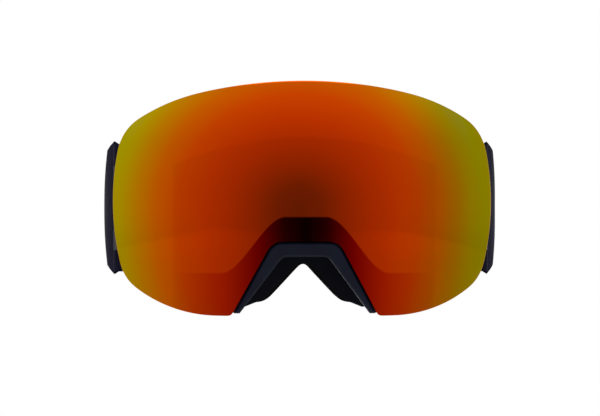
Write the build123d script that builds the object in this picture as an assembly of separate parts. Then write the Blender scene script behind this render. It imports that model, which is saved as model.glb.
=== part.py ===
from build123d import *

import math
import os

# Ski goggles with a frameless toric double lens, built as separate named pieces.
#
# Frame: the lens faces -Y, +Y runs back towards the head, +X is the wearer's left and +Z is up.
# The origin is on the middle plane, at eye height, where the forehead meets the foam.
# "left" and "right" in names are the wearer's.

# ---- driving dimensions, in millimetres ----------------------------------------------------------

# Extents of working solids, which only have to reach past the goggles.
WORK_FRONT_Y = -90.0
WORK_REAR_Y = 75.0
WORK_LENS_REAR_Y = 30.0
WORK_LOW_Z = -100.0
WORK_SPAN = 300.0

# Outer surface of the lens: a vertical arc turned about a vertical axis.
LENS_APEX_Y = -58.0
LENS_RADIUS_ACROSS = 105.0
LENS_RADIUS_UPRIGHT = 135.0
LENS_HALF_HEIGHT = 72.0

# Outline of the lens from the front: tangent arcs (radius, turn in degrees) from the middle of its top.
LENS_TOP_Z = 57.3
LENS_OUTLINE_ARCS = [(229.0, 12.0), (95.0, 18.5), (21.0, 48.5), (124.0, 25.0), (18.0, 40.0), (64.0, 36.0)]
LENS_LOBE_CORNER = 4.0
LENS_LOBE_CORNER_LEAST = 1.0

# Nose cut-out: a trapezium with rounded upper corners.
NOSE_TOP_Z = -15.2
NOSE_TOP_HALF_WIDTH = 14.7
NOSE_LEG_ANGLE = 28.8
NOSE_CORNER = 7.0
NOSE_CORNER_LEAST = 3.0

# Layers of the lens, as depths behind its outer surface.
OUTER_LENS_DEPTH = 1.8
SPACER_DEPTH = 5.8
INNER_LENS_DEPTH = 6.6

# Insets from the lens outline.
CARRIER_INSET = 1.2
CARRIER_INNER_INSET = 5.2
SPACER_INSET = 5.4
SPACER_INNER_INSET = 9.4

# Front frame: the rigid ring behind the lens, with the nose bridge that fills the cut-out.
RING_FRONT_DEPTH = 6.1
RING_LIP_DEPTH = 7.2
RING_REAR_DEPTH = 9.6
RING_SEAT_INSET = 5.0
RING_INNER_INSET = 12.5
RING_NOSE_GROW = 6.0
BRIDGE_GAP = 0.5
BRIDGE_INNER_TOP_Z = -22.0
BRIDGE_INNER_HALF_WIDTH = 10.2
BRIDGE_INNER_ANGLE = 36.8
BRIDGE_INNER_CORNER = 4.5
BRIDGE_FRONT_DEPTH = 0.4
BRIDGE_EDGE = 0.8

# Magnets: bars let into the carrier and the ring, face to face, at distances along the rim from its top.
MAGNET_LENGTH = 9.0
MAGNET_WIDTH = 2.0
MAGNET_THICKNESS = 1.4
MAGNET_INSET = 3.1
MAGNET_RECESS = 0.1
MAGNET_FIT = 0.05
MAGNET_DISTANCES = (20.0, 58.0, 104.0, 140.0, 170.0)

# Face frame: the soft skirt between the ring and the foam, set lower than the lens.
FACE_DROP = 4.0
SKIRT_INSET = 7.0
SKIRT_WALL = 2.0
SKIRT_NOSE_SETBACK = 2.3
FLANGE_THICKNESS = 2.0
FLANGE_LIP = 2.0

# Vents through the skirt's top and bottom walls, and the foam strips inside them.
TOP_VENT_COUNT = 7
TOP_VENT_PITCH = 15.0
TOP_VENT_WIDTH = 10.5
BOTTOM_VENT_COUNT = 3
BOTTOM_VENT_PITCH = 9.5
BOTTOM_VENT_WIDTH = 6.5
BOTTOM_VENT_FIRST_X = 43.0
VENT_HEIGHT = 45.0
VENT_REACH = 15.0
VENT_LENGTH = 8.0
VENT_CORNER = 2.4
VENT_FOAM_THICKNESS = 2.4
VENT_FOAM_GAP = 0.2
VENT_FOAM_END_GAP = 1.0
TOP_VENT_FOAM_HALF_WIDTH = 60.0
BOTTOM_VENT_FOAM_SPAN = (38.0, 70.0)

# Face foam: layers counted outwards from a cylinder that stands for the face.
FACE_RADIUS = 95.0
FLEECE = 2.6
COMFORT_FOAM = 8.0
BASE_FOAM = 8.0
FOAM_INSET = 8.5
OPENING_INSET = 24.5
OPENING_DROP = 1.5

# Nose: the foam's outer edge is a soft V, and its inner edge a wider trapezium.
NOSE_VEE = [(0.0, -24.4), (17.0, -42.9), (42.0, -53.0)]
NOSE_VEE_CORNERS = (5.0, 16.0)
OPENING_NOSE_TOP_Z = -4.2
OPENING_NOSE_HALF_WIDTH = 15.0
OPENING_NOSE_ANGLE = 38.0
OPENING_NOSE_CORNER = 9.0

# Outriggers: hinged arms that carry the strap. Heights are from the middle.
HINGE_X = 86.0
HINGE_Y = 10.6
BARREL_RADIUS = 3.1
BARREL_CLEARANCE = 0.35
PIN_RADIUS = 1.2
PIN_HALF_LENGTH = 29.0
BARREL_HALF_LENGTH = 30.2
FRAME_BORE_RADIUS = 1.21
ARM_BORE_RADIUS = 1.26
KNUCKLE_LOW = 10.0
KNUCKLE_HIGH = 20.0
KNUCKLE_GAP = 0.3
LUG_FRONT_Y = 2.5
LUG_INNER_X = 82.9
LUG_OUTER_X = 88.4
ARM_START = (87.5, 12.3)
ARM_OUTER_X = 94.2
ARM_THICKNESS = 2.8
ARM_FRONT_HALF_HEIGHT = 33.0
ARM_REAR_HALF_HEIGHT = 26.4
ARM_SHOULDER_Y = 9.5
ARM_WAIST_Y = 18.5
ARM_SHOULDER_CORNER = 8.0
ARM_CROWN_RADIUS = 200.0
ARM_REAR_CORNER = 4.0
ARM_KNEE = (-5.6, 1.3)
ARM_BAR_START = -1.0

# Strap side: a straight run in its own frame, s back along the strap from the outrigger's bar, n outwards.
STRAP_ORIGIN = (90.6, 35.0)
STRAP_CONVERGE = 8.0
SLOT = (-4.6, -0.4)
SLOT_HALF_HEIGHT = 23.3
SLOT_CORNER = 1.2
SLOT_REACH = 6.0
BAR_END = 3.6
STRAP_WIDTH = 45.0
STRAP_THICKNESS = 1.5
STRAP_LAYER_OFFSET = 2.3
STRAP_SIDE_LENGTH = 69.0
STRAP_JOIN_GAP = 0.6
RETURN_LENGTH = 51.0

# Slider: a three-bar buckle round the strap, with the strap's tail sewn round its middle bar.
SLIDER_CENTRE = 55.0
SLIDER_HALF_LENGTH = 8.5
SLIDER_BAR = 3.6
SLIDER_RAIL = 3.2
SLIDER_OUTER_BARS = (3.3, 5.1)
SLIDER_MIDDLE_BAR = (-1.0, 0.4)
SLIDER_SIDE_CLEARANCE = 0.5
TAIL_THICKNESS = 0.9
TAIL_GAP = 0.05
TAIL_TONGUE = (44.0, 53.0)
TAIL_TONGUE_SPAN = (-1.45, -0.55)

# Silicone lines inside the strap's rear.
GRIP_THICKNESS = 0.5
GRIP_WIDTH = 3.0
GRIP_PITCH = 12.0
GRIP_HALF_ANGLE = 62.0


# ---- outlines, drawn in the plane seen from the front (x across, z up) -----------------------------

FRONT = Plane(origin=(0, 0, 0), x_dir=(1, 0, 0), z_dir=(0, -1, 0))


def arc_chain(top_z, arcs):
    """Edges of tangent arcs that start at the top middle and turn clockwise, and the point where they end."""
    x, z, heading = 0.0, top_z, 0.0
    edges = []
    for radius, turn in arcs:
        cx = x - radius * math.sin(heading)
        cz = z - radius * math.cos(heading)
        mid = heading + math.radians(turn) / 2
        end = heading + math.radians(turn)
        points = [(cx + radius * math.sin(t), cz + radius * math.cos(t)) for t in (heading, mid, end)]
        edges.append(ThreePointArc(*points).edge())
        x, z = points[-1]
        heading = end
    return edges, x, z


def whole_outline():
    """The lens outline without its nose cut-out: arcs down each side and a straight run between the lobes."""
    arcs, x, z = arc_chain(LENS_TOP_Z, LENS_OUTLINE_ARCS)
    half = Wire(arcs)
    return make_face(half.edges() + half.mirror(Plane.YZ).edges() + Line((x, z), (-x, z)).edges())


def shrunk(face, inset):
    """The face drawn in by inset all round."""
    if inset == 0:
        return face
    return offset(face, amount=-inset, kind=Kind.INTERSECTION)


def trapezium(top, half_width, angle, corner):
    """A trapezium that widens downwards past the goggles, with rounded upper corners."""
    wide = half_width + (top - WORK_LOW_Z) * math.tan(math.radians(angle))
    points = [(-half_width, top), (half_width, top), (wide, WORK_LOW_Z), (-wide, WORK_LOW_Z)]
    shape = make_face(Polyline(*points, close=True).edges())
    return fillet(shape.vertices().sort_by(Axis.Y)[-2:], corner)


def nose_shape(grow):
    """The lens's nose cut-out, grown by grow on its top and legs, and open downwards."""
    angle = math.radians(NOSE_LEG_ANGLE)
    half = NOSE_TOP_HALF_WIDTH + grow / math.cos(angle) - grow * math.tan(angle)
    return trapezium(NOSE_TOP_Z + grow, half, NOSE_LEG_ANGLE, max(NOSE_CORNER + grow / 2, NOSE_CORNER_LEAST))


def bridge_inside(grow):
    """The arch below the bridge, whose legs spread so that the bridge tapers; grown by grow."""
    angle = math.radians(BRIDGE_INNER_ANGLE)
    half = BRIDGE_INNER_HALF_WIDTH + grow / math.cos(angle) - grow * math.tan(angle)
    return trapezium(BRIDGE_INNER_TOP_Z + grow, half, BRIDGE_INNER_ANGLE, BRIDGE_INNER_CORNER + grow)


def nose_vee(grow):
    """The soft V that the foam leaves for the nose, with its flanks moved out by grow."""
    right = NOSE_VEE[1:]
    low = (right[-1][0], WORK_LOW_Z)
    points = [(-x, z) for x, z in [low, *reversed(right)]] + [NOSE_VEE[0], *right, low]
    shape = make_face(Polyline(*points, close=True).edges())
    by_height = shape.vertices().sort_by(Axis.Y)
    flanks = [v for v in by_height if abs(v.Y - right[0][1]) < 0.01]
    shape = fillet(flanks, NOSE_VEE_CORNERS[1])
    shape = fillet(shape.vertices().sort_by(Axis.Y)[-1:], NOSE_VEE_CORNERS[0])
    return offset(shape, amount=grow) if grow else shape


def lobe_z():
    """Height of the lens's lowest edge."""
    return arc_chain(LENS_TOP_Z, LENS_OUTLINE_ARCS)[2]


def lens_face(inset):
    """The lens outline with its nose cut-out, drawn in by inset, with rounded lobes."""
    face = shrunk(whole_outline(), inset) - nose_shape(inset)
    low = lobe_z() + inset
    corners = sorted((v for v in face.vertices() if abs(v.Y - low) < 0.01), key=lambda v: abs(v.X))[:2]
    return fillet(corners, max(LENS_LOBE_CORNER - inset / 2, LENS_LOBE_CORNER_LEAST))


def skirt_face(wall):
    """Outline of the skirt, drawn in by wall from its outer side."""
    outline = Pos(0, -FACE_DROP) * shrunk(whole_outline(), SKIRT_INSET + wall)
    return outline - bridge_inside(SKIRT_NOSE_SETBACK + wall)


def opening_face(grow):
    """The opening that the eyes look through, grown by grow."""
    inner = Pos(0, -OPENING_DROP) * shrunk(whole_outline(), OPENING_INSET - grow)
    top = OPENING_NOSE_TOP_Z - grow
    return inner - trapezium(top, OPENING_NOSE_HALF_WIDTH, OPENING_NOSE_ANGLE, OPENING_NOSE_CORNER)


def foam_face():
    """The ring that the foam layers fill, from their outer edge to the eye opening."""
    return Pos(0, -FACE_DROP) * shrunk(whole_outline(), FOAM_INSET) - nose_vee(0) - opening_face(0)


def prism(face, rear_y=WORK_REAR_Y):
    """A face drawn in the front plane, carried back from in front of the goggles to rear_y."""
    return extrude(FRONT.offset(-WORK_FRONT_Y) * face, amount=WORK_FRONT_Y - rear_y)


# ---- bodies that give the layers their curved fronts and backs ------------------------------------


def lens_body(depth):
    """Everything behind the lens's outer surface once that is moved in by depth."""
    centre = LENS_RADIUS_ACROSS - LENS_RADIUS_UPRIGHT
    radius = LENS_RADIUS_UPRIGHT - depth
    end = centre + math.sqrt(radius**2 - LENS_HALF_HEIGHT**2)
    profile = make_face(
        [
            Line((0, -LENS_HALF_HEIGHT), (end, -LENS_HALF_HEIGHT)),
            ThreePointArc((end, -LENS_HALF_HEIGHT), (centre + radius, 0), (end, LENS_HALF_HEIGHT)),
            Line((end, LENS_HALF_HEIGHT), (0, LENS_HALF_HEIGHT)),
            Line((0, LENS_HALF_HEIGHT), (0, -LENS_HALF_HEIGHT)),
        ]
    )
    turned = revolve(Plane.XZ * profile, axis=Axis.Z)
    return Pos(0, LENS_APEX_Y + LENS_RADIUS_ACROSS, 0) * turned


def lens_layer(face, front_depth, rear_depth):
    """A face's prism between two depths behind the lens's outer surface."""
    return (prism(face, WORK_LENS_REAR_Y) & lens_body(front_depth)) - lens_body(rear_depth)


def face_cylinder(height):
    """A cylinder round the head, height outside the face."""
    return Pos(0, FACE_RADIUS, 0) * Cylinder(FACE_RADIUS + height, 2 * LENS_HALF_HEIGHT)


def face_layer(face, inner, outer):
    """A face's prism between two heights off the face."""
    return (prism(face) & face_cylinder(outer)) - face_cylinder(inner)


def both_sides(shape):
    """A left piece with its mirror image."""
    return shape, mirror(shape, about=Plane.YZ)


# ---- lens module ----------------------------------------------------------------------------------


def magnets(front_depth, grow):
    """Bar magnets round the rim, their faces front_depth behind the lens's outer surface."""
    rim = shrunk(whole_outline(), MAGNET_INSET).wire()
    middle = rim.param_at_point(Vector(0, LENS_TOP_Z - MAGNET_INSET, 0))
    centre = LENS_RADIUS_ACROSS - LENS_RADIUS_UPRIGHT
    radius = LENS_RADIUS_UPRIGHT - front_depth - MAGNET_THICKNESS / 2
    bar = Box(MAGNET_LENGTH + 2 * grow, MAGNET_WIDTH + 2 * grow, MAGNET_THICKNESS + 2 * grow)
    bars = []
    for distance in MAGNET_DISTANCES:
        for side in (1, -1):
            u = (middle + side * distance / rim.length) % 1.0
            spot, along = rim.position_at(u), rim.tangent_at(u)
            lean = math.asin(spot.Y / radius)
            across = centre + radius * math.cos(lean)
            turn = math.asin(spot.X / across)
            level = Vector(math.sin(turn), -math.cos(turn), 0)
            outward = level * math.cos(lean) + Vector(0, 0, math.sin(lean))
            origin = Vector(spot.X, LENS_APEX_Y + LENS_RADIUS_ACROSS - across * math.cos(turn), spot.Y)
            tangent = Vector(along.X, 0, along.Y)
            tangent = tangent - outward * tangent.dot(outward)
            bars.append(Plane(origin=origin, x_dir=tangent, z_dir=outward) * bar)
    return bars


def lens_magnets(grow=0.0):
    """Magnets in the carrier, set in from its rear face."""
    return magnets(SPACER_DEPTH - MAGNET_RECESS - MAGNET_THICKNESS, grow)


def frame_magnets(grow=0.0):
    """Magnets in the front frame, set in from its front face."""
    return magnets(RING_FRONT_DEPTH + MAGNET_RECESS, grow)


def outer_lens():
    """Mirror-coated outer lens, moulded to the toric surface."""
    return lens_layer(lens_face(0), 0, OUTER_LENS_DEPTH)


def lens_spacer():
    """Foam gasket that holds the two lenses apart."""
    ring = lens_face(SPACER_INSET) - lens_face(SPACER_INNER_INSET)
    return lens_layer(ring, OUTER_LENS_DEPTH, SPACER_DEPTH)


def inner_lens():
    """Thin anti-fog inner lens."""
    return lens_layer(lens_face(SPACER_INSET), SPACER_DEPTH, INNER_LENS_DEPTH)


def lens_carrier():
    """Rim bonded behind the outer lens, with pockets for the magnets."""
    ring = lens_face(CARRIER_INSET) - lens_face(CARRIER_INNER_INSET)
    rim = lens_layer(ring, OUTER_LENS_DEPTH, SPACER_DEPTH)
    pockets = [pocket + Pos(0, MAGNET_RECESS * 2, 0) * pocket for pocket in lens_magnets(MAGNET_FIT)]
    return rim - pockets


# ---- frame ----------------------------------------------------------------------------------------


def hinge_lugs():
    """Two knuckles a side, on blocks that run forward into the ring."""
    height = KNUCKLE_HIGH - KNUCKLE_LOW
    middle = (KNUCKLE_HIGH + KNUCKLE_LOW) / 2
    block = Pos((LUG_INNER_X + LUG_OUTER_X) / 2, (LUG_FRONT_Y + HINGE_Y) / 2, 0) * Box(
        LUG_OUTER_X - LUG_INNER_X, HINGE_Y - LUG_FRONT_Y, height
    )
    barrel = Pos(HINGE_X, HINGE_Y, 0) * Cylinder(BARREL_RADIUS, height)
    bore = Pos(HINGE_X, HINGE_Y, 0) * Cylinder(FRAME_BORE_RADIUS, 4 * height)
    one = (block & lens_body(RING_LIP_DEPTH)) + barrel - bore
    return [Pos(0, 0, z) * one for z in (middle, -middle)]


def bridge_band():
    """The arch that shows in the lens's nose cut-out."""
    band = nose_shape(-BRIDGE_GAP) - bridge_inside(0)
    return band & shrunk(whole_outline(), CARRIER_INSET)


def front_frame():
    """Rigid ring with a seat for the lens module, the nose bridge and the hinge lugs."""
    outside = shrunk(whole_outline(), CARRIER_INSET) - bridge_inside(0)
    window = shrunk(whole_outline(), RING_INNER_INSET) - nose_shape(RING_NOSE_GROW)
    seat = lens_layer(outside - lens_face(RING_SEAT_INSET), RING_FRONT_DEPTH, RING_LIP_DEPTH)
    lip = lens_layer(outside - window, RING_LIP_DEPTH, RING_REAR_DEPTH)
    bridge = lens_layer(bridge_band(), BRIDGE_FRONT_DEPTH, RING_LIP_DEPTH)
    bridge = chamfer(bridge.faces().sort_by(Axis.Y)[0].edges(), BRIDGE_EDGE)
    barrel_room = Cylinder(BARREL_RADIUS + BARREL_CLEARANCE, WORK_SPAN)
    rooms = [Pos(side * HINGE_X, HINGE_Y, 0) * barrel_room for side in (1, -1)]
    lugs = [lug for one in hinge_lugs() for lug in both_sides(one)]
    frame = seat + lip + bridge - rooms + lugs
    pockets = [pocket + Pos(0, -MAGNET_RECESS * 2, 0) * pocket for pocket in frame_magnets(MAGNET_FIT)]
    return frame - pockets


def skirt_middle_y(x, z):
    """Where the skirt's wall is half-way between the ring and the flange."""
    radius = LENS_RADIUS_UPRIGHT - RING_REAR_DEPTH
    across = LENS_RADIUS_ACROSS - LENS_RADIUS_UPRIGHT + math.sqrt(radius**2 - z**2)
    front = LENS_APEX_Y + LENS_RADIUS_ACROSS - math.sqrt(across**2 - x**2)
    flange = FACE_RADIUS + foam_stack() + FLANGE_THICKNESS
    return (front + FACE_RADIUS - math.sqrt(flange**2 - x**2)) / 2


def foam_stack():
    """Thickness of the three foam layers."""
    return FLEECE + COMFORT_FOAM + BASE_FOAM


def vent_cutter(x, width, up):
    """An upright slot with rounded ends through the top or bottom wall at x."""
    z = up * VENT_HEIGHT
    slot = RectangleRounded(width, VENT_LENGTH, VENT_CORNER)
    return Pos(x, skirt_middle_y(x, z), z) * extrude(slot, amount=VENT_REACH, both=True)


def vents():
    """All the slots in the skirt."""
    first = -(TOP_VENT_COUNT - 1) / 2
    top = [vent_cutter((first + i) * TOP_VENT_PITCH, TOP_VENT_WIDTH, 1) for i in range(TOP_VENT_COUNT)]
    low_x = [BOTTOM_VENT_FIRST_X + i * BOTTOM_VENT_PITCH for i in range(BOTTOM_VENT_COUNT)]
    return top + [vent_cutter(side * x, BOTTOM_VENT_WIDTH, -1) for x in low_x for side in (1, -1)]


def face_frame():
    """Soft skirt with vents, and the flange that the foam is bonded to."""
    stack = foam_stack()
    wall = prism(skirt_face(0) - skirt_face(SKIRT_WALL))
    wall = (wall & lens_body(RING_REAR_DEPTH)) - face_cylinder(stack)
    rim = Pos(0, -FACE_DROP) * shrunk(whole_outline(), SKIRT_INSET) - nose_vee(1.0)
    flange = face_layer(rim - opening_face(FLANGE_LIP), stack, stack + FLANGE_THICKNESS)
    return wall - vents() + flange


def vent_foam_strip():
    """A thin band of open-cell foam all round the inside of the skirt's wall."""
    inset = SKIRT_INSET + SKIRT_WALL + VENT_FOAM_GAP
    outside = shrunk(whole_outline(), inset)
    inside = shrunk(whole_outline(), inset + VENT_FOAM_THICKNESS)
    strip = prism(Pos(0, -FACE_DROP) * (outside - inside)) & lens_body(RING_REAR_DEPTH + VENT_FOAM_END_GAP)
    return strip - face_cylinder(foam_stack() + FLANGE_THICKNESS + VENT_FOAM_END_GAP)


def top_vent_foam():
    """Foam behind the top vents."""
    block = Box(2 * TOP_VENT_FOAM_HALF_WIDTH, WORK_SPAN, 2 * LENS_HALF_HEIGHT)
    return vent_foam_strip() & Pos(0, 0, LENS_HALF_HEIGHT) * block


def bottom_vent_foam():
    """Foam behind the left bottom vents."""
    near, far = BOTTOM_VENT_FOAM_SPAN
    block = Box(far - near, WORK_SPAN, 2 * LENS_HALF_HEIGHT)
    return vent_foam_strip() & Pos((near + far) / 2, 0, -LENS_HALF_HEIGHT) * block


def foam_layer(inner, outer):
    """One layer of the face foam."""
    return face_layer(foam_face(), inner, outer)


# ---- outriggers, strap and sliders, made on the left and mirrored ------------------------------------


def strap_frame():
    """Plane of the strap's side run: x back along the strap, y outwards and z up."""
    lean = math.radians(STRAP_CONVERGE)
    return Plane(
        origin=(STRAP_ORIGIN[0], STRAP_ORIGIN[1], 0),
        x_dir=(-math.sin(lean), math.cos(lean), 0),
        z_dir=(0, 0, -1),
    )


def strap_point(s, n):
    """Where a point of the strap's frame is, seen from above."""
    lean = math.radians(STRAP_CONVERGE)
    x = STRAP_ORIGIN[0] - s * math.sin(lean) + n * math.cos(lean)
    y = STRAP_ORIGIN[1] + s * math.cos(lean) + n * math.sin(lean)
    return x, y


def along_strap(s_span, n_span, half_height, low=0.0):
    """A block in the strap's frame; with low, the two blocks between low and half_height."""
    s_mid, n_mid = sum(s_span) / 2, sum(n_span) / 2
    size = (s_span[1] - s_span[0], n_span[1] - n_span[0])
    whole = Box(*size, 2 * half_height)
    if low:
        whole = whole - Box(size[0] + 1, size[1] + 1, 2 * low)
    return strap_frame() * Pos(s_mid, n_mid, 0) * whole


def arm_plan():
    """The arm seen from above: a curve that runs out to a knee, a step in towards the strap, and the bar."""
    lean = math.radians(STRAP_CONVERGE)
    knee = strap_point(*ARM_KNEE)
    bend = strap_point(ARM_BAR_START, 0)
    tip = strap_point(BAR_END, 0)
    curve = TangentArc(knee, ARM_START, tangent=(math.sin(lean), -math.cos(lean)))
    return trace([curve, Line(knee, bend), Line(bend, tip)], ARM_THICKNESS)


def arm_outline():
    """The arm seen from the side: tall at the hinge, with sloping shoulders down to a lower rear."""
    rear_y = strap_point(BAR_END, 0)[1]
    upper = [
        (0, ARM_FRONT_HALF_HEIGHT),
        (ARM_SHOULDER_Y, ARM_FRONT_HALF_HEIGHT),
        (ARM_WAIST_Y, ARM_REAR_HALF_HEIGHT),
        (rear_y, ARM_REAR_HALF_HEIGHT),
    ]
    lower = [(y, -z) for y, z in reversed(upper)]
    outline = make_face(Polyline(*upper, *lower, close=True).edges())
    shoulders = [v for v in outline.vertices() if 0 < v.X < rear_y - 1]
    outline = fillet(shoulders, ARM_SHOULDER_CORNER)
    return fillet(outline.vertices().sort_by(Axis.X)[-2:], ARM_REAR_CORNER)


def outrigger():
    """Curved arm with three knuckles and a slot for the strap."""
    arm = extrude(arm_plan(), amount=ARM_FRONT_HALF_HEIGHT, both=True)
    arm = arm + Pos(HINGE_X, HINGE_Y, 0) * Cylinder(BARREL_RADIUS, 2 * BARREL_HALF_LENGTH)
    arm = arm & extrude(Plane.YZ * arm_outline(), amount=WORK_SPAN)
    crown = Rot(90, 0, 0) * Cylinder(ARM_CROWN_RADIUS, WORK_SPAN)
    arm = arm & Pos(ARM_OUTER_X - ARM_CROWN_RADIUS, 0, 0) * crown
    room = Pos(HINGE_X, HINGE_Y, 0) * Cylinder(BARREL_RADIUS + BARREL_CLEARANCE, knuckle_room())
    for side in (1, -1):
        arm = arm - Pos(0, 0, side * (KNUCKLE_HIGH + KNUCKLE_LOW) / 2) * room
    arm = arm - Pos(HINGE_X, HINGE_Y, 0) * Cylinder(ARM_BORE_RADIUS, WORK_SPAN)
    slot = along_strap(SLOT, (-SLOT_REACH, SLOT_REACH), SLOT_HALF_HEIGHT)
    through = Axis(strap_frame().origin, strap_frame().y_dir)
    return arm - fillet(slot.edges().filter_by(through), SLOT_CORNER)


def knuckle_room():
    """Height of the gap that takes one of the frame's knuckles."""
    return KNUCKLE_HIGH - KNUCKLE_LOW + 2 * KNUCKLE_GAP


def outrigger_pin():
    """Hinge pin, held in the frame's knuckles."""
    return Pos(HINGE_X, HINGE_Y, 0) * Cylinder(PIN_RADIUS, 2 * PIN_HALF_LENGTH)


def strap_side():
    """Strap from its bend round the outrigger's bar, along its outer layer to the rear."""
    inner_n = STRAP_LAYER_OFFSET - STRAP_THICKNESS / 2
    outer_n = STRAP_LAYER_OFFSET + STRAP_THICKNESS / 2
    bend = Cylinder(outer_n, STRAP_WIDTH) - Cylinder(inner_n, STRAP_WIDTH)
    bend = bend & Pos(-outer_n, 0, 0) * Box(2 * outer_n, 2 * outer_n, STRAP_WIDTH)
    return strap_frame() * bend + along_strap((0, STRAP_SIDE_LENGTH), (inner_n, outer_n), STRAP_WIDTH / 2)


def strap_return():
    """Inner layer of the strap, from the outrigger's bar to the slider."""
    inner_n = STRAP_LAYER_OFFSET - STRAP_THICKNESS / 2
    outer_n = STRAP_LAYER_OFFSET + STRAP_THICKNESS / 2
    return along_strap((0, RETURN_LENGTH), (-outer_n, -inner_n), STRAP_WIDTH / 2)


def strap_tail():
    """End of the strap, folded round the slider's middle bar and sewn."""
    low, high = SLIDER_MIDDLE_BAR
    half = SLIDER_BAR / 2
    outer_half = half + TAIL_GAP + TAIL_THICKNESS
    fold = along_strap(
        (SLIDER_CENTRE - outer_half, SLIDER_CENTRE + outer_half),
        (low - TAIL_GAP - TAIL_THICKNESS, high + TAIL_GAP + TAIL_THICKNESS),
        STRAP_WIDTH / 2,
    )
    hole = along_strap(
        (SLIDER_CENTRE - half - TAIL_GAP, SLIDER_CENTRE + half + TAIL_GAP),
        (low - TAIL_GAP, high + TAIL_GAP),
        STRAP_WIDTH,
    )
    return fold + along_strap(TAIL_TONGUE, TAIL_TONGUE_SPAN, STRAP_WIDTH / 2) - hole


def slider():
    """Buckle with two bars outside the strap, one inside it and a rail at each edge."""
    ends = (SLIDER_CENTRE - SLIDER_HALF_LENGTH, SLIDER_CENTRE + SLIDER_HALF_LENGTH)
    low = STRAP_WIDTH / 2 + SLIDER_SIDE_CLEARANCE
    high = low + SLIDER_RAIL
    rails = along_strap(ends, (SLIDER_MIDDLE_BAR[0], SLIDER_OUTER_BARS[1]), high, low)
    front = along_strap((ends[0], ends[0] + SLIDER_BAR), SLIDER_OUTER_BARS, high)
    rear = along_strap((ends[1] - SLIDER_BAR, ends[1]), SLIDER_OUTER_BARS, high)
    middle_span = (SLIDER_CENTRE - SLIDER_BAR / 2, SLIDER_CENTRE + SLIDER_BAR / 2)
    middle = along_strap(middle_span, SLIDER_MIDDLE_BAR, high)
    return rails + front + rear + middle


def rear_arc():
    """Centre, radius and half-angle of the strap's rear, tangent to both side runs."""
    lean = math.radians(STRAP_CONVERGE)
    x, y = strap_point(STRAP_SIDE_LENGTH, STRAP_LAYER_OFFSET)
    radius = x / math.cos(lean)
    return y - radius * math.sin(lean), radius, 90.0 - STRAP_CONVERGE


def rear_band(radius, thickness, height, half_angle):
    """Part of an upright ring round the back of the head; radius is to its outer face."""
    centre_y = rear_arc()[0]
    wedge = Cylinder(radius, height, arc_size=2 * half_angle, align=(Align.NONE, Align.NONE, Align.CENTER))
    ring = wedge - Cylinder(radius - thickness, 2 * height)
    return Pos(0, centre_y, 0) * Rot(0, 0, 90.0 - half_angle) * ring


def strap_rear():
    """Rear of the strap."""
    radius, half_angle = rear_arc()[1:]
    gap = math.degrees(STRAP_JOIN_GAP / radius)
    return rear_band(radius + STRAP_THICKNESS / 2, STRAP_THICKNESS, STRAP_WIDTH, half_angle - gap)


def strap_grip():
    """Three silicone lines on the inside of the strap's rear."""
    radius = rear_arc()[1] - STRAP_THICKNESS / 2
    line = rear_band(radius, GRIP_THICKNESS, GRIP_WIDTH, GRIP_HALF_ANGLE)
    return [Pos(0, 0, z) * line for z in (-GRIP_PITCH, 0, GRIP_PITCH)]


# ---- every piece, by the name of its node ------------------------------------------------------------


def pieces():
    """All pieces of the goggles: {node: solid or list of solids}."""
    made = {
        "outer_lens": outer_lens(),
        "lens_spacer": lens_spacer(),
        "inner_lens": inner_lens(),
        "lens_carrier": lens_carrier(),
        "lens_magnets": lens_magnets(),
        "front_frame": front_frame(),
        "frame_magnets": frame_magnets(),
        "face_frame": face_frame(),
        "top_vent_foam": top_vent_foam(),
        "fleece_lining": foam_layer(0, FLEECE),
        "comfort_foam": foam_layer(FLEECE, FLEECE + COMFORT_FOAM),
        "base_foam": foam_layer(FLEECE + COMFORT_FOAM, foam_stack()),
        "strap_rear": strap_rear(),
        "strap_grip": strap_grip(),
    }
    paired = {
        "bottom_vent_foam": bottom_vent_foam(),
        "outrigger": outrigger(),
        "outrigger_pin": outrigger_pin(),
        "strap_side": strap_side(),
        "strap_return": strap_return(),
        "strap_tail": strap_tail(),
        "slider": slider(),
    }
    for name, shape in paired.items():
        made[name + "_left"], made[name + "_right"] = both_sides(shape)
    return made


def main():
    """Writes one STEP file a node."""
    os.makedirs("parts", exist_ok=True)
    for name, shape in pieces().items():
        shapes = shape if isinstance(shape, list) else [shape]
        solids = [solid for one in shapes for solid in one.solids()]
        whole = Compound(label=name, children=solids) if len(solids) > 1 else solids[0]
        export_step(whole, f"parts/{name}.step")


if __name__ == "__main__":
    main()
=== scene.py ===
"""Looks of the frameless ski goggles: mirror lens, moulded frame, face foam, outriggers and elastic strap.

Shapes are worked out in millimetres in the CAD's own frame: the lens faces -Y, +Y runs back to the head,
+X is the wearer's left and +Z is up. A mesh is scaled to metres when it is made.
"""

import math

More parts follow.
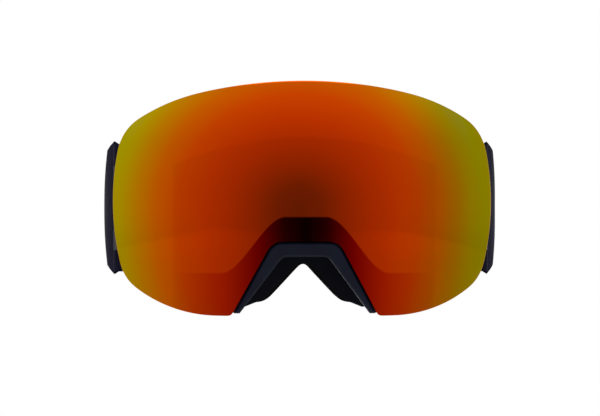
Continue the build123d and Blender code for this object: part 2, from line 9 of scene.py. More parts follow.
import bmesh
import bpy
import numpy as np
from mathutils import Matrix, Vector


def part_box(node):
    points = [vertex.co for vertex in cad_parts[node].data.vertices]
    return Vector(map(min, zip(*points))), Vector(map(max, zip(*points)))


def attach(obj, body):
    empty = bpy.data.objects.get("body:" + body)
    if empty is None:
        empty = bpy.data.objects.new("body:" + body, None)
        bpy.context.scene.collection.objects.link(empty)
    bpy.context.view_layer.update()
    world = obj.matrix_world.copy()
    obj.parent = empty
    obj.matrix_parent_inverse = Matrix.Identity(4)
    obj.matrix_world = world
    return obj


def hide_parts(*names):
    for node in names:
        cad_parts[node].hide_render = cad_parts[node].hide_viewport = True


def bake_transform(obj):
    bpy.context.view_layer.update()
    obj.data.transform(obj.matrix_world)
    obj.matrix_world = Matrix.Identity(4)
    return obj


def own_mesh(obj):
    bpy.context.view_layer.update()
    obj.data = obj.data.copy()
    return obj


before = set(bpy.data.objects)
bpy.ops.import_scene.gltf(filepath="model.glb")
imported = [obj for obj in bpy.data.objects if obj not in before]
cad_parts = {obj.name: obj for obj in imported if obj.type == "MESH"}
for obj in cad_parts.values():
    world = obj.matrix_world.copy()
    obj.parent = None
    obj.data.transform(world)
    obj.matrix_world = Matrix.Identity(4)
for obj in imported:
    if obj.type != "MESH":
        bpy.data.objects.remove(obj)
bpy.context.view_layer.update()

MM = 0.001
SIDES = {"left": 1.0, "right": -1.0}


def low(node):
    """A CAD node's lowest corner, in millimetres."""
    return np.array(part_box(node)[0]) / MM


def high(node):
    """A CAD node's highest corner, in millimetres."""
    return np.array(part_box(node)[1]) / MM


# ---- sizes, in millimetres -----------------------------------------------------------------------

# The lens: a vertical arc turned about a vertical axis, cut to tangent arcs (radius, turn in degrees).
LENS_APEX_Y = low("outer_lens")[1]
LENS_RADIUS_ACROSS = 105.0
LENS_RADIUS_UPRIGHT = 135.0
LENS_TOP_Z = high("outer_lens")[2]
LENS_ARCS = [(229.0, 12.0), (95.0, 18.5), (21.0, 48.5), (124.0, 25.0), (18.0, 40.0), (64.0, 36.0)]
LENS_THICKNESS = 1.8
SPACER_REAR = 5.8
INNER_LENS_REAR = 6.6
SPACER_INSET = 5.4
SPACER_INNER_INSET = 9.4
FRAME_REAR = 9.6

# The nose cut-out: (top, half width of the top, leg angle from upright, corner radius).
NOSE_CUT = (-15.2, 14.7, 28.8, 7.0)
OPENING_NOSE = (-4.2, 15.0, 38.0, 9.0)
NOSE_VEE = [(0.0, -24.4), (17.0, -42.9), (42.0, -53.0), (60.0, -60.3)]

# Face foam, in layers outwards from a cylinder that stands for the face.
FACE_RADIUS = 95.0
FACE_DROP = 4.0
FLEECE = 2.6
COMFORT = 10.6
BASE = 18.6
FLANGE = 20.6
FOAM_INSET = 8.5
OPENING_INSET = 24.5
OPENING_DROP = 1.5
SKIRT_INSIDE = 9.2
VENT_FOAM_THICKNESS = 2.4
VENT_FOAM_END_GAP = 1.0

# The strap: a straight side run from the outrigger's bar, then an arc round the head.
STRAP_ORIGIN = np.array([90.6, 35.0])
STRAP_CONVERGE = math.radians(8.0)
STRAP_SIDE_LENGTH = 69.0
STRAP_LAYER_OFFSET = 2.3
STRAP_THICKNESS = 1.5
STRAP_HALF_WIDTH = 22.5
RETURN_LENGTH = 51.0
SLIDER_CENTRE = 55.0
TAIL_THICKNESS = 0.9
TAIL_START = 44.0

# Points round an outline, and how softly a moulded outline and a foam outline turn a corner.
AROUND = 480
EDGE_SOFTNESS = 1.4
FOAM_SOFTNESS = 2.4
OPENING_SOFTNESS = 3.0


# ---- curves in the front plane: x across, z up ---------------------------------------------------


def spread_evenly(points, count):
    """The polyline's points moved to equal steps of its length, count in all."""
    step = np.linalg.norm(np.diff(points, axis=0), axis=1)
    run = np.concatenate([[0.0], np.cumsum(step)])
    even = np.linspace(0.0, run[-1], count)
    return np.stack([np.interp(even, run, points[:, k]) for k in range(points.shape[1])], axis=1)


def arc_side():
    """The lens's right side: each arc is its centre plus its radius turned clockwise, ending at the
    middle."""
    spot, heading, runs = np.array([0.0, LENS_TOP_Z]), 0.0, []
    for radius, turn in LENS_ARCS:
        turned = heading + np.linspace(0.0, math.radians(turn), 90)
        centre = spot - radius * np.array([math.sin(heading), math.cos(heading)])
        runs.append(centre + radius * np.stack([np.sin(turned), np.cos(turned)], axis=1))
        spot, heading = runs[-1][-1], turned[-1]
    runs.append(np.array([[0.0, spot[1]]]))
    return spread_evenly(np.concatenate(runs), 1400)


def inward(points):
    """Unit normals of a polyline that runs clockwise, pointing in: its tangent turned clockwise by a
    right angle."""
    tangent = np.gradient(points, axis=0)
    tangent /= np.linalg.norm(tangent, axis=1, keepdims=True)
    return np.stack([tangent[:, 1], -tangent[:, 0]], axis=1)


def drawn_in(points, inset):
    """A clockwise half outline moved in by inset, without the loops that form where its radius is
    smaller."""
    if inset == 0:
        return points
    moved = points + inset * inward(points)
    moved[0, 0] = moved[-1, 0] = 0.0
    both = np.concatenate([points, points * [-1, 1]])
    gap = np.sqrt(((moved[:, None, :] - both[None, ::3, :]) ** 2).sum(axis=2)).min(axis=1)
    return moved[gap > inset - 0.12]


def nose_arch(top, half_width, angle, corner):
    """Right half of a trapezium's top and leg with a rounded corner: flat, then an arc, then straight
    down."""
    turn = math.radians(90.0 - angle)
    flat = half_width - corner * math.tan(turn / 2)
    bend = np.linspace(0.0, turn, 24)
    arc = np.stack([flat + corner * np.sin(bend), top - corner + corner * np.cos(bend)], axis=1)
    down = arc[-1] + 80.0 * np.array([math.cos(turn), -math.sin(turn)])
    return np.concatenate([[[0.0, top]], arc, [down]])


def cut_outline(inset, drop, nose, softness, count=AROUND):
    """A closed outline: the lens's, drawn in and lowered, with a nose shape cut away and its corners
    softened.

    Softening is a Gaussian average along the curve, softness millimetres wide.
    """
    side = drawn_in(arc_side(), inset) - [0.0, drop]
    nose = spread_evenly(np.asarray(nose, float), 900)
    kept = side[side[:, 1] > np.interp(side[:, 0], nose[:, 0], nose[:, 1], right=-999.0)]
    half = np.concatenate([kept, nose[nose[:, 0] < kept[-1, 0]][::-1]])
    half = spread_evenly(half, count // 2 + 1)
    loop = np.concatenate([half, half[-2:0:-1] * [-1, 1]])
    step = np.linalg.norm(half[1] - half[0])
    reach = np.arange(-count // 2, count // 2)
    weight = np.exp(-0.5 * (reach * step / softness) ** 2)
    weight = np.roll(weight / weight.sum(), -count // 2)
    blurred = np.fft.ifft(np.fft.fft(loop, axis=0) * np.fft.fft(weight)[:, None], axis=0).real
    return blurred


def loop_inward(loop):
    """Unit normals of a closed clockwise outline, pointing in."""
    return inward(np.concatenate([loop[-2:], loop, loop[:2]]))[2:-2]


# ---- surfaces: y from x and z --------------------------------------------------------------------


def lens_y(x, z, depth):
    """The toric surface depth behind the lens's front: an arc over z turned about the lens's upright
    axis."""
    across = LENS_RADIUS_ACROSS - LENS_RADIUS_UPRIGHT + np.sqrt((LENS_RADIUS_UPRIGHT - depth) ** 2 - z**2)
    return LENS_APEX_Y + LENS_RADIUS_ACROSS - np.sqrt(across**2 - x**2)


def face_y(x, z, height):
    """The upright cylinder height outside the face."""
    return FACE_RADIUS - np.sqrt((FACE_RADIUS + height) ** 2 - x**2)


# ---- meshes --------------------------------------------------------------------------------------


def made(name, points, faces, finish, attribute=None):
    """A mesh object from points in millimetres, its doubles merged and its faces turned outwards."""
    mesh = bpy.data.meshes.new(name)
    mesh.from_pydata(points * MM, [], faces)
    if attribute is not None:
        layer = mesh.attributes.new("weave", "FLOAT_VECTOR", "POINT")
        layer.data.foreach_set("vector", np.ascontiguousarray(attribute, dtype=np.float32).ravel())
    work = bmesh.new()
    work.from_mesh(mesh)
    bmesh.ops.remove_doubles(work, verts=work.verts, dist=2e-6)
    bmesh.ops.recalc_face_normals(work, faces=work.faces)
    work.to_mesh(mesh)
    work.free()
    mesh.polygons.foreach_set("use_smooth", np.ones(len(mesh.polygons), bool))
    piece = bpy.data.objects.new(name, mesh)
    bpy.context.scene.collection.objects.link(piece)
    mesh.materials.append(finish)
    return piece


def quads(rows, columns, wrap_rows=False, wrap_columns=False, first=0):
    """Corners of the quads of a grid of points, in reading order from point number first."""
    r = np.arange(rows if wrap_rows else rows - 1)[:, None]
    c = np.arange(columns if wrap_columns else columns - 1)[None, :]
    after_r, after_c = (r + 1) % rows, (c + 1) % columns
    corners = [r * columns + c, r * columns + after_c, after_r * columns + after_c, after_r * columns + c]
    grid = np.stack([np.broadcast_to(k, (r.size, c.size)) for k in corners], axis=2)
    return (grid + first).reshape(-1, 4).tolist()


def tube(name, rings, finish, closed=False, attribute=None):
    """A profile carried along a path: rings[i, k] is profile point k at path point i, and open ends are
    closed."""
    rows, columns = rings.shape[:2]
    faces = quads(rows, columns, wrap_rows=closed, wrap_columns=True)
    if not closed:
        faces.append(list(range(columns)))
        faces.append(list(range((rows - 1) * columns, rows * columns))[::-1])
    flat = None if attribute is None else attribute.reshape(-1, 3)
    piece = made(name, rings.reshape(-1, 3), faces, finish, flat)
    if not closed:
        piece.data.set_sharp_from_angle(angle=math.radians(55.0))
    return piece


SHEET_MIDDLE = np.array([0.0, 16.0])
SHEET_SPREAD = np.array([90.0, 60.0])
SHEET_CORE = np.array([34.0, 9.0])


def sheet_rows(loop, rows):
    """The inside of an outline: rows of points from a middle point to an ellipse, then straight to the
    outline."""
    turn = np.arctan2(*((loop - SHEET_MIDDLE) / SHEET_SPREAD).T)
    middle = SHEET_MIDDLE
    core = middle + SHEET_CORE * np.stack([np.sin(turn), np.cos(turn)], axis=1)
    inner = np.linspace(0.0, 1.0, rows // 4)[:, None, None]
    outer = np.linspace(0.0, 1.0, rows)[1:, None, None]
    return np.concatenate([middle + inner * (core - middle), core + outer * (loop - core)])


def lens_piece(name, loop, front, rear, edge, finish, rows=44):
    """A curved sheet between two depths with a rounded edge: front rows, a quarter circle of radius
    edge at each face, and rear rows back to the middle."""
    normal = loop_inward(loop)
    sheet = sheet_rows(loop + edge * normal, rows)
    turn = np.linspace(0.0, math.pi / 2, 6)[1:]
    bends = [(edge * (1 - math.sin(t)), front + edge * (1 - math.cos(t))) for t in turn]
    bends += [(inset, rear + front - depth) for inset, depth in bends[::-1]]
    parts = [np.dstack([sheet[..., 0], lens_y(sheet[..., 0], sheet[..., 1], front), sheet[..., 1]])]
    for inset, depth in bends:
        edge_points = loop + inset * normal
        y = lens_y(edge_points[:, 0], edge_points[:, 1], depth)
        parts.append(np.stack([edge_points[:, 0], y, edge_points[:, 1]], axis=1)[None])
    parts.append(np.dstack([sheet[..., 0], lens_y(sheet[..., 0], sheet[..., 1], rear), sheet[..., 1]])[::-1])
    points = np.concatenate(parts)
    faces = quads(points.shape[0], points.shape[1], wrap_columns=True)
    return made(name, points.reshape(-1, 3), faces, finish)


def ring_section(corner, across, back, bend):
    """Points round a rectangle with round corners, each as its share of the way across and back, plus
    two offsets.

    A corner's point is its centre, which stands in by the corner's radius both ways, plus that radius
    turned by a quarter; points between corners are spaced evenly on straight lines. across, back and
    bend count the points.
    """
    turn = np.linspace(0.0, math.pi / 2, bend)
    places = ((0, 0), (1, 0), (1, 1), (0, 1))
    corners = []
    for number, (share_across, share_back) in enumerate(places):
        angle = math.pi + number * math.pi / 2 + turn
        sideways = corner * (1 - 2 * share_across + np.cos(angle))
        backwards = corner * (1 - 2 * share_back + np.sin(angle))
        shares = np.full((bend, 2), (share_across, share_back), float)
        corners.append(np.column_stack([shares, sideways, backwards]))
    runs = []
    for number, here in enumerate(corners):
        ahead = corners[(number + 1) % 4]
        between = np.linspace(here[-1], ahead[0], (across if number % 2 == 0 else back) + 2)[1:-1]
        runs += [here, between]
    return np.concatenate(runs)


def ring_piece(name, outer, inner, front_y, rear_y, section, finish):
    """A ring between two outlines and two surfaces: the section's shares pick a place across from outer
    to inner and back from front_y to rear_y, which give y from x and z, and its offsets are added in
    millimetres."""
    width = np.linalg.norm(inner - outer, axis=1)
    share = section[None, :, 0] + section[None, :, 2] / width[:, None]
    plan = outer[:, None, :] + share[..., None] * (inner - outer)[:, None, :]
    x, z = plan[..., 0], plan[..., 1]
    front, rear = front_y(x, z), rear_y(x, z)
    y = front + section[None, :, 1] * (rear - front) + section[None, :, 3]
    return tube(name, np.dstack([x, y, z]), finish, closed=True)


def mesh_points(mesh):
    """A mesh's points as an array, in metres."""
    flat = np.empty(len(mesh.vertices) * 3, dtype=np.float32)
    mesh.vertices.foreach_get("co", flat)
    return flat.reshape(-1, 3).astype(float)


SWELL_FRAMES = 20


def swollen(piece, held, reach):
    """Swells a closed pad: Cloth under inner pressure, with the points in held staying put and no point
    moved further than reach millimetres. The result is kept in the mesh, then smoothed by one
    subdivision."""
    rest = mesh_points(piece.data)
    group = piece.vertex_groups.new(name="bonded")
    group.add(np.nonzero(held)[0].tolist(), 1.0, "REPLACE")
    swell = piece.modifiers.new("swell", "CLOTH")
    cloth = swell.settings
    cloth.quality = 6
    cloth.mass = 0.2
    cloth.use_pressure = True
    cloth.uniform_pressure_force = 4.0
    cloth.vertex_group_mass = group.name
    cloth.effector_weights.gravity = 0.0
    swell.point_cache.frame_start = 1
    swell.point_cache.frame_end = SWELL_FRAMES
    for number in range(1, SWELL_FRAMES + 1):
        bpy.context.scene.frame_set(number)
    evaluated = piece.evaluated_get(bpy.context.evaluated_depsgraph_get())
    moved = mesh_points(evaluated.data) - rest
    length = np.linalg.norm(moved, axis=1, keepdims=True)
    moved *= np.minimum(1.0, reach * MM / np.maximum(length, 1e-9))
    piece.modifiers.remove(swell)
    piece.vertex_groups.clear()
    bpy.context.scene.frame_set(1)
    piece.data.vertices.foreach_set("co", (rest + moved).astype(np.float32).ravel())
    piece.data.update()
    smooth = piece.modifiers.new("smooth", "SUBSURF")
    smooth.levels = smooth.render_levels = 1
    return piece


def softened(node, finish, width=0.25):
    """A copy of a CAD node with its points merged, its flat faces joined and its edges rounded."""
    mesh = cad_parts[node].data.copy()
    piece = bpy.data.objects.new(node + "_moulding", mesh)
    bpy.context.scene.collection.objects.link(piece)
    work = bmesh.new()
    work.from_mesh(mesh)
    bmesh.ops.remove_doubles(work, verts=work.verts, dist=2e-6)
    bmesh.ops.dissolve_limit(work, angle_limit=math.radians(0.2), verts=work.verts, edges=work.edges)
    work.to_mesh(mesh)
    work.free()
    mesh.polygons.foreach_set("use_smooth", np.ones(len(mesh.polygons), bool))
    mesh.materials.clear()
    mesh.materials.append(finish)
    bevel = piece.modifiers.new("round edges", "BEVEL")
    bevel.width = width * MM
    bevel.segments = 2
    bevel.limit_method = "ANGLE"
    bevel.angle_limit = math.radians(32.0)
    bevel.use_clamp_overlap = True
    shading = piece.modifiers.new("even shading", "WEIGHTED_NORMAL")
    shading.keep_sharp = False
    return piece


# ---- finishes ------------------------------------------------------------------------------------


def finish_named(name):
    """A new material, its Principled shader and its tree."""
    finish = bpy.data.materials.new(name)
    finish.use_nodes = True
    return finish, finish.node_tree.nodes["Principled BSDF"], finish.node_tree


def put(tree, socket, value):
    """Sets a socket to a value, or links another socket to it."""
    if isinstance(value, bpy.types.NodeSocket):
        tree.links.new(value, socket)
    else:
        socket.default_value = value


def maths(tree, operation, *values, clamp=False):
    """One Math node; its values are numbers or sockets."""
    node = tree.nodes.new("ShaderNodeMath")
    node.operation = operation
    node.use_clamp = clamp
    for socket, value in zip(node.inputs, values):
        put(tree, socket, value)
    return node.outputs[0]


def ramp(tree, factor, stops, interpolation="LINEAR"):
    """A colour ramp: stops are (place, colour), where a colour is a number or (red, green, blue)."""
    node = tree.nodes.new("ShaderNodeValToRGB")
    node.color_ramp.interpolation = interpolation
    elements = node.color_ramp.elements
    while len(elements) < len(stops):
        elements.new(0.5)
    for element, (place, colour) in zip(elements, stops):
        element.position = place
        element.color = (colour,) * 3 + (1.0,) if isinstance(colour, float) else (*colour, 1.0)
    put(tree, node.inputs["Fac"], factor)
    return node.outputs["Color"]


def blended(tree, kind, factor, first, second):
    """Two colours mixed by a Mix node of the given kind."""
    node = tree.nodes.new("ShaderNodeMix")
    node.data_type = "RGBA"
    node.blend_type = kind
    put(tree, node.inputs["Factor"], factor)
    put(tree, node.inputs["A"], first)
    put(tree, node.inputs["B"], second)
    return node.outputs["Result"]


def object_place(tree):
    """Object coordinates, in metres."""
    return tree.nodes.new("ShaderNodeTexCoord").outputs["Object"]


def parts_of(tree, vector):
    """The x, y and z of a vector."""
    node = tree.nodes.new("ShaderNodeSeparateXYZ")
    put(tree, node.inputs[0], vector)
    return node.outputs[0], node.outputs[1], node.outputs[2]


def noise(tree, vector, scale, detail=3.0, roughness=0.6):
    """Noise over a vector, as a factor."""
    node = tree.nodes.new("ShaderNodeTexNoise")
    put(tree, node.inputs["Vector"], vector)
    node.inputs["Scale"].default_value = scale
    node.inputs["Detail"].default_value = detail
    node.inputs["Roughness"].default_value = roughness
    return node.outputs["Fac"]


def cells(tree, vector, scale, feature="F1"):
    """Distance to the nearest cell's middle, over a vector."""
    node = tree.nodes.new("ShaderNodeTexVoronoi")
    node.feature = feature
    put(tree, node.inputs["Vector"], vector)
    node.inputs["Scale"].default_value = scale
    return node.outputs["Distance"]


def bumped(tree, shader, height, strength, distance):
    """The shader's normal, raised by height; distance is in millimetres."""
    node = tree.nodes.new("ShaderNodeBump")
    node.inputs["Strength"].default_value = strength
    node.inputs["Distance"].default_value = distance * MM
    put(tree, node.inputs["Height"], height)
    put(tree, shader.inputs["Normal"], node.outputs["Normal"])


def plastic(name, colour, roughness, grain=900.0, depth=0.02, specular=0.5):
    """Moulded plastic: fine spark-erosion grain, and colour and gloss that vary a little from place to
    place."""
    finish, shader, tree = finish_named(name)
    place = object_place(tree)
    cloud = noise(tree, place, 60.0)
    darker, lighter = tuple(c * 0.8 for c in colour), tuple(c * 1.25 for c in colour)
    put(tree, shader.inputs["Base Color"], ramp(tree, cloud, [(0.3, darker), (0.7, lighter)]))
    put(tree, shader.inputs["Roughness"], maths(tree, "MULTIPLY_ADD", cloud, 0.14, roughness - 0.07))
    shader.inputs["Specular IOR Level"].default_value = specular
    bumped(tree, shader, noise(tree, place, grain, 4.0), 0.35, depth)
    return finish


def foam(name, colour, pore, roughness=0.95):
    """Open-cell foam: pores as dark cell middles, which is painted shade in the pores, with a soft mottle of
    the foam's own tone.
    """
    finish, shader, tree = finish_named(name)
    place = object_place(tree)
    pores = cells(tree, place, pore)
    speckle = cells(tree, place, pore * 2.3)
    height = maths(tree, "ADD", pores, maths(tree, "MULTIPLY", speckle, 0.5))
    mottle = maths(tree, "MULTIPLY", noise(tree, place, 120.0), height)
    # Darker where the pores are deep: painted shade; the noise gives the foam's own mottle.
    stops = [(0.1, tuple(c * 0.5 for c in colour)), (0.45, colour), (0.9, tuple(c * 1.7 for c in colour))]
    put(tree, shader.inputs["Base Color"], ramp(tree, mottle, stops))
    shader.inputs["Roughness"].default_value = roughness
    shader.inputs["Specular IOR Level"].default_value = 0.06
    bumped(tree, shader, height, 0.8, 0.25)
    return finish


# The coat's colour from the middle of the lens outwards: partly the coat's own colour, partly painted
# reflection, darkest in the middle and olive at the rim.
COAT_COLOURS_AND_REFLECTION = [
    (0.00, (0.125, 0.0105, 0.0006)),
    (0.12, (0.155, 0.0120, 0.0003)),
    (0.24, (0.255, 0.0160, 0.0002)),
    (0.36, (0.345, 0.0205, 0.0001)),
    (0.48, (0.415, 0.0270, 0.0001)),
    (0.62, (0.460, 0.0430, 0.0001)),
    (0.74, (0.450, 0.0850, 0.0001)),
    (0.84, (0.400, 0.1550, 0.0001)),
    (0.92, (0.345, 0.2350, 0.0050)),
    (1.00, (0.300, 0.2850, 0.0300)),
]


# How the coat's colours and painted reflection spread, in metres: distances from the middle to the last
# colour sideways, up and down, how far the painted reflection's middle stands off, where the wearer's left
# side is painted darker as painted shade, and painted light from bottom to top.
COAT_SIDEWAYS = 0.088
COAT_UP = 0.082
COAT_DOWN = 0.150
PAINTED_REFLECTION_OFF_MIDDLE = 0.0032
PAINTED_SHADE_SIDE = (0.040, 0.072)
PAINTED_LIGHT_BY_HEIGHT = [(0.0, 0.35), (0.25, 0.40), (0.42, 0.48), (0.5, 0.5), (0.8, 0.52), (1.0, 0.60)]

# Painted shade: the dark band round the nose, where the dark parts behind the lens would show through: its
# arch's height in the middle, how far it drops, and between which distances from the middle, then its
# colours outwards over BAND_REACH.
ARCH_TOP = -0.0042
ARCH_DROP = -0.0253
ARCH_SIDES = (0.009, 0.038)
BAND_REACH = 0.060
PAINTED_NOSE_SHADE_COLOURS = [
    (0.00, (0.02, 0.01, 0.04)),
    (0.16, (0.10, 0.01, 0.06)),
    (0.36, (0.48, 0.03, 0.20)),
    (0.60, (0.80, 0.40, 0.50)),
    (1.00, (1.00, 1.00, 1.00)),
]

# Painted shade: the faint darker window where the inner lens would show through: its curved top edge and
# its sides, each from dark to light.
WINDOW_CURVE = 3.4
WINDOW_TOP = (0.0305, 0.0325)
WINDOW_SIDES = (0.0585, 0.0605)


def smooth_step(tree, value, start, end):
    """0 below start, 1 above end, and smooth between."""
    node = tree.nodes.new("ShaderNodeMapRange")
    node.interpolation_type = "SMOOTHSTEP"
    put(tree, node.inputs["Value"], value)
    node.inputs["From Min"].default_value = start
    node.inputs["From Max"].default_value = end
    return node.outputs["Result"]


def mirror_colour(tree):
    """The mirror coat's colour from place: dark red in the middle, orange, then olive at the rim, partly the
    coat's own colour and partly painted reflection; painted light makes it brighter at the top, and painted
    shade darkens the wearer's left side.

    Painted shade darkens the band round the nose, where the dark parts behind the lens would show through,
    and makes a faint darker window where the inner lens would show through.
    """
    x, _, z = parts_of(tree, object_place(tree))
    wide = maths(tree, "ABSOLUTE", x)
    up = maths(tree, "DIVIDE", maths(tree, "MAXIMUM", z, 0.0), COAT_UP)
    down = maths(tree, "DIVIDE", maths(tree, "MINIMUM", z, 0.0), COAT_DOWN)
    side = maths(tree, "DIVIDE", maths(tree, "ADD", x, PAINTED_REFLECTION_OFF_MIDDLE), COAT_SIDEWAYS)
    square = maths(tree, "MULTIPLY", side, side)
    for part in (up, down):
        square = maths(tree, "MULTIPLY_ADD", part, part, square)
    # The coat's own colour with painted reflection, by distance from the middle.
    colour = ramp(tree, maths(tree, "SQRT", square), COAT_COLOURS_AND_REFLECTION)
    # Painted light: the coat is brighter towards the top.
    height = maths(tree, "MULTIPLY_ADD", z, 10.0, 0.5)
    light = ramp(tree, height, PAINTED_LIGHT_BY_HEIGHT)
    # Painted shade: the wearer's left side is darker.
    painted_side_shade = maths(tree, "MULTIPLY_ADD", smooth_step(tree, x, *PAINTED_SHADE_SIDE), -0.6, 2.0)
    colour = blended(tree, "MULTIPLY", 1.0, colour, maths(tree, "MULTIPLY", light, painted_side_shade))
    # Painted shade round the nose, where the dark parts behind the lens would show through.
    arch = maths(tree, "MULTIPLY_ADD", smooth_step(tree, wide, *ARCH_SIDES), ARCH_DROP, ARCH_TOP)
    inside = smooth_step(tree, maths(tree, "SUBTRACT", z, arch), -0.0004, 0.0005)
    band = ramp(tree, maths(tree, "DIVIDE", wide, BAND_REACH), PAINTED_NOSE_SHADE_COLOURS)
    colour = blended(tree, "MULTIPLY", maths(tree, "SUBTRACT", 1.0, inside), colour, band)
    # Painted shade: darker inside the window where the inner lens would show through.
    rise = maths(tree, "MULTIPLY_ADD", maths(tree, "MULTIPLY", x, x), WINDOW_CURVE, z)
    over = smooth_step(tree, rise, *WINDOW_TOP)
    beside = smooth_step(tree, wide, *WINDOW_SIDES)
    shade = maths(tree, "MULTIPLY_ADD", maths(tree, "MAXIMUM", over, beside), 0.07, 0.94)
    return blended(tree, "MULTIPLY", 1.0, colour, shade)


def mirror_finish():
    """The lens's outside: a polished metal coat."""
    finish, shader, tree = finish_named("lens mirror coat")
    put(tree, shader.inputs["Base Color"], mirror_colour(tree))
    shader.inputs["Metallic"].default_value = 1.0
    shader.inputs["Specular Tint"].default_value = (0.9, 0.6, 0.08, 1.0)
    smear = noise(tree, object_place(tree), 25.0, 5.0)
    put(tree, shader.inputs["Roughness"], maths(tree, "MULTIPLY_ADD", smear, 0.06, 0.05))
    return finish


def clear_finish(name, colour, alpha, roughness):
    """Tinted clear plastic, faintly clouded."""
    finish, shader, tree = finish_named(name)
    haze = noise(tree, object_place(tree), 30.0)
    stops = [(0.3, tuple(c * 0.85 for c in colour)), (0.7, colour)]
    put(tree, shader.inputs["Base Color"], ramp(tree, haze, stops))
    put(tree, shader.inputs["Roughness"], maths(tree, "MULTIPLY_ADD", haze, 0.05, roughness))
    shader.inputs["Alpha"].default_value = alpha
    return finish


def metal(name, colour, roughness):
    """Drawn or plated metal with fine marks along its length."""
    finish, shader, tree = finish_named(name)
    place = object_place(tree)
    marks = noise(tree, place, 700.0, 2.0)
    stops = [(0.3, tuple(c * 0.8 for c in colour)), (0.7, colour)]
    put(tree, shader.inputs["Base Color"], ramp(tree, marks, stops))
    shader.inputs["Metallic"].default_value = 1.0
    put(tree, shader.inputs["Roughness"], maths(tree, "MULTIPLY_ADD", marks, 0.15, roughness))
    return finish


def fleece_finish():
    """Brushed fleece: short fibres as stretched noise, with sheen; darker where the pile is low, which is
    painted shade.
    """
    finish, shader, tree = finish_named("fleece")
    place = object_place(tree)
    fibres = noise(tree, place, 1400.0, 6.0, 0.75)
    tufts = noise(tree, place, 260.0, 4.0)
    height = maths(tree, "ADD", fibres, tufts)
    # Darker where the pile is low: painted shade, with the fibres' own tone varying at random.
    stops = [(0.3, (0.004, 0.004, 0.0045)), (0.6, (0.010, 0.010, 0.011)), (0.8, (0.024, 0.024, 0.026))]
    put(tree, shader.inputs["Base Color"], ramp(tree, maths(tree, "MULTIPLY", height, 0.5), stops))
    shader.inputs["Roughness"].default_value = 1.0
    shader.inputs["Specular IOR Level"].default_value = 0.1
    shader.inputs["Sheen Weight"].default_value = 0.25
    shader.inputs["Sheen Roughness"].default_value = 0.5
    bumped(tree, shader, height, 0.9, 0.3)
    return finish


WEFT_PITCH = 0.85
WARP_PITCH = 1.25
WEFT_SWAY = 1.5


def webbing_finish():
    """Woven elastic: rows of knitted ribs across the strap and cords along it, from the weave attribute in
    millimetres along and across, with the gaps painted darker as painted shade."""
    finish, shader, tree = finish_named("strap webbing")
    weave = tree.nodes.new("ShaderNodeAttribute")
    weave.attribute_name = "weave"
    along, across, _ = parts_of(tree, weave.outputs["Vector"])
    cords = maths(tree, "SINE", maths(tree, "MULTIPLY", across, 2 * math.pi / WARP_PITCH))
    sway = maths(tree, "SINE", maths(tree, "MULTIPLY", across, math.pi / WARP_PITCH))
    half_rows = maths(tree, "MULTIPLY", sway, WEFT_SWAY)
    ribs = maths(tree, "SINE", maths(tree, "MULTIPLY_ADD", along, 2 * math.pi / WEFT_PITCH, half_rows))
    height = maths(tree, "MULTIPLY_ADD", ribs, 0.5, cords)
    # Darker where the weave is low: painted shade in the gaps; the fuzz is the yarn's own tone.
    level = maths(tree, "MULTIPLY_ADD", height, 0.33, 0.5)
    fuzz = noise(tree, weave.outputs["Vector"], 3.0, 4.0)
    tone = maths(tree, "MULTIPLY", level, maths(tree, "MULTIPLY_ADD", fuzz, 0.8, 0.6))
    stops = [(0.1, (0.004, 0.004, 0.007)), (0.5, (0.011, 0.011, 0.019)), (0.95, (0.030, 0.030, 0.046))]
    put(tree, shader.inputs["Base Color"], ramp(tree, tone, stops))
    shader.inputs["Roughness"].default_value = 0.85
    shader.inputs["Specular IOR Level"].default_value = 0.25
    shader.inputs["Sheen Weight"].default_value = 0.15
    shader.inputs["Sheen Roughness"].default_value = 0.4
    bumped(tree, shader, height, 0.7, 0.12)
    return finish


MIRROR = mirror_finish()
LENS_BACK = clear_finish("lens back", (0.045, 0.016, 0.009), 1.0, 0.06)
CLEAR = clear_finish("anti-fog sheet", (0.20, 0.12, 0.09), 0.22, 0.04)
SPACER = foam("spacer foam", (0.012, 0.012, 0.012), 2600.0)
CARRIER = plastic("carrier plastic", (0.006, 0.006, 0.007), 0.45)
FRAME = plastic("frame plastic", (0.0035, 0.0045, 0.0110), 0.42, specular=0.06)
SKIRT = plastic("skirt rubber", (0.0040, 0.0042, 0.0070), 0.72, grain=600.0, depth=0.04, specular=0.06)
ARM = plastic("outrigger plastic", (0.0055, 0.0048, 0.0135), 0.55, specular=0.03)
BUCKLE = plastic("slider plastic", (0.0060, 0.0060, 0.0070), 0.40, specular=0.25)
BASE_FOAM = foam("base foam", (0.0040, 0.0040, 0.0032), 1500.0)
COMFORT_FOAM = foam("comfort foam", (0.0090, 0.0090, 0.0095), 1900.0)
VENT_FOAM = foam("vent foam", (0.0070, 0.0070, 0.0070), 1100.0)
FLEECE_CLOTH = fleece_finish()
NICKEL = metal("nickel plate", (0.45, 0.44, 0.42), 0.25)
PIN_STEEL = metal("pin steel", (0.50, 0.50, 0.51), 0.30)
WEBBING = webbing_finish()
SILICONE = plastic("silicone", (0.020, 0.020, 0.023), 0.38, grain=300.0, depth=0.02)
THREAD = plastic("thread", (0.020, 0.020, 0.032), 0.7, grain=2500.0, depth=0.05)


# ---- lens module ---------------------------------------------------------------------------------


def placed(piece, body, slot, *nodes):
    """Rides a finished piece on its body, in place of its CAD nodes."""
    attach(piece, body)
    if nodes:
        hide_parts(*nodes)
    return piece


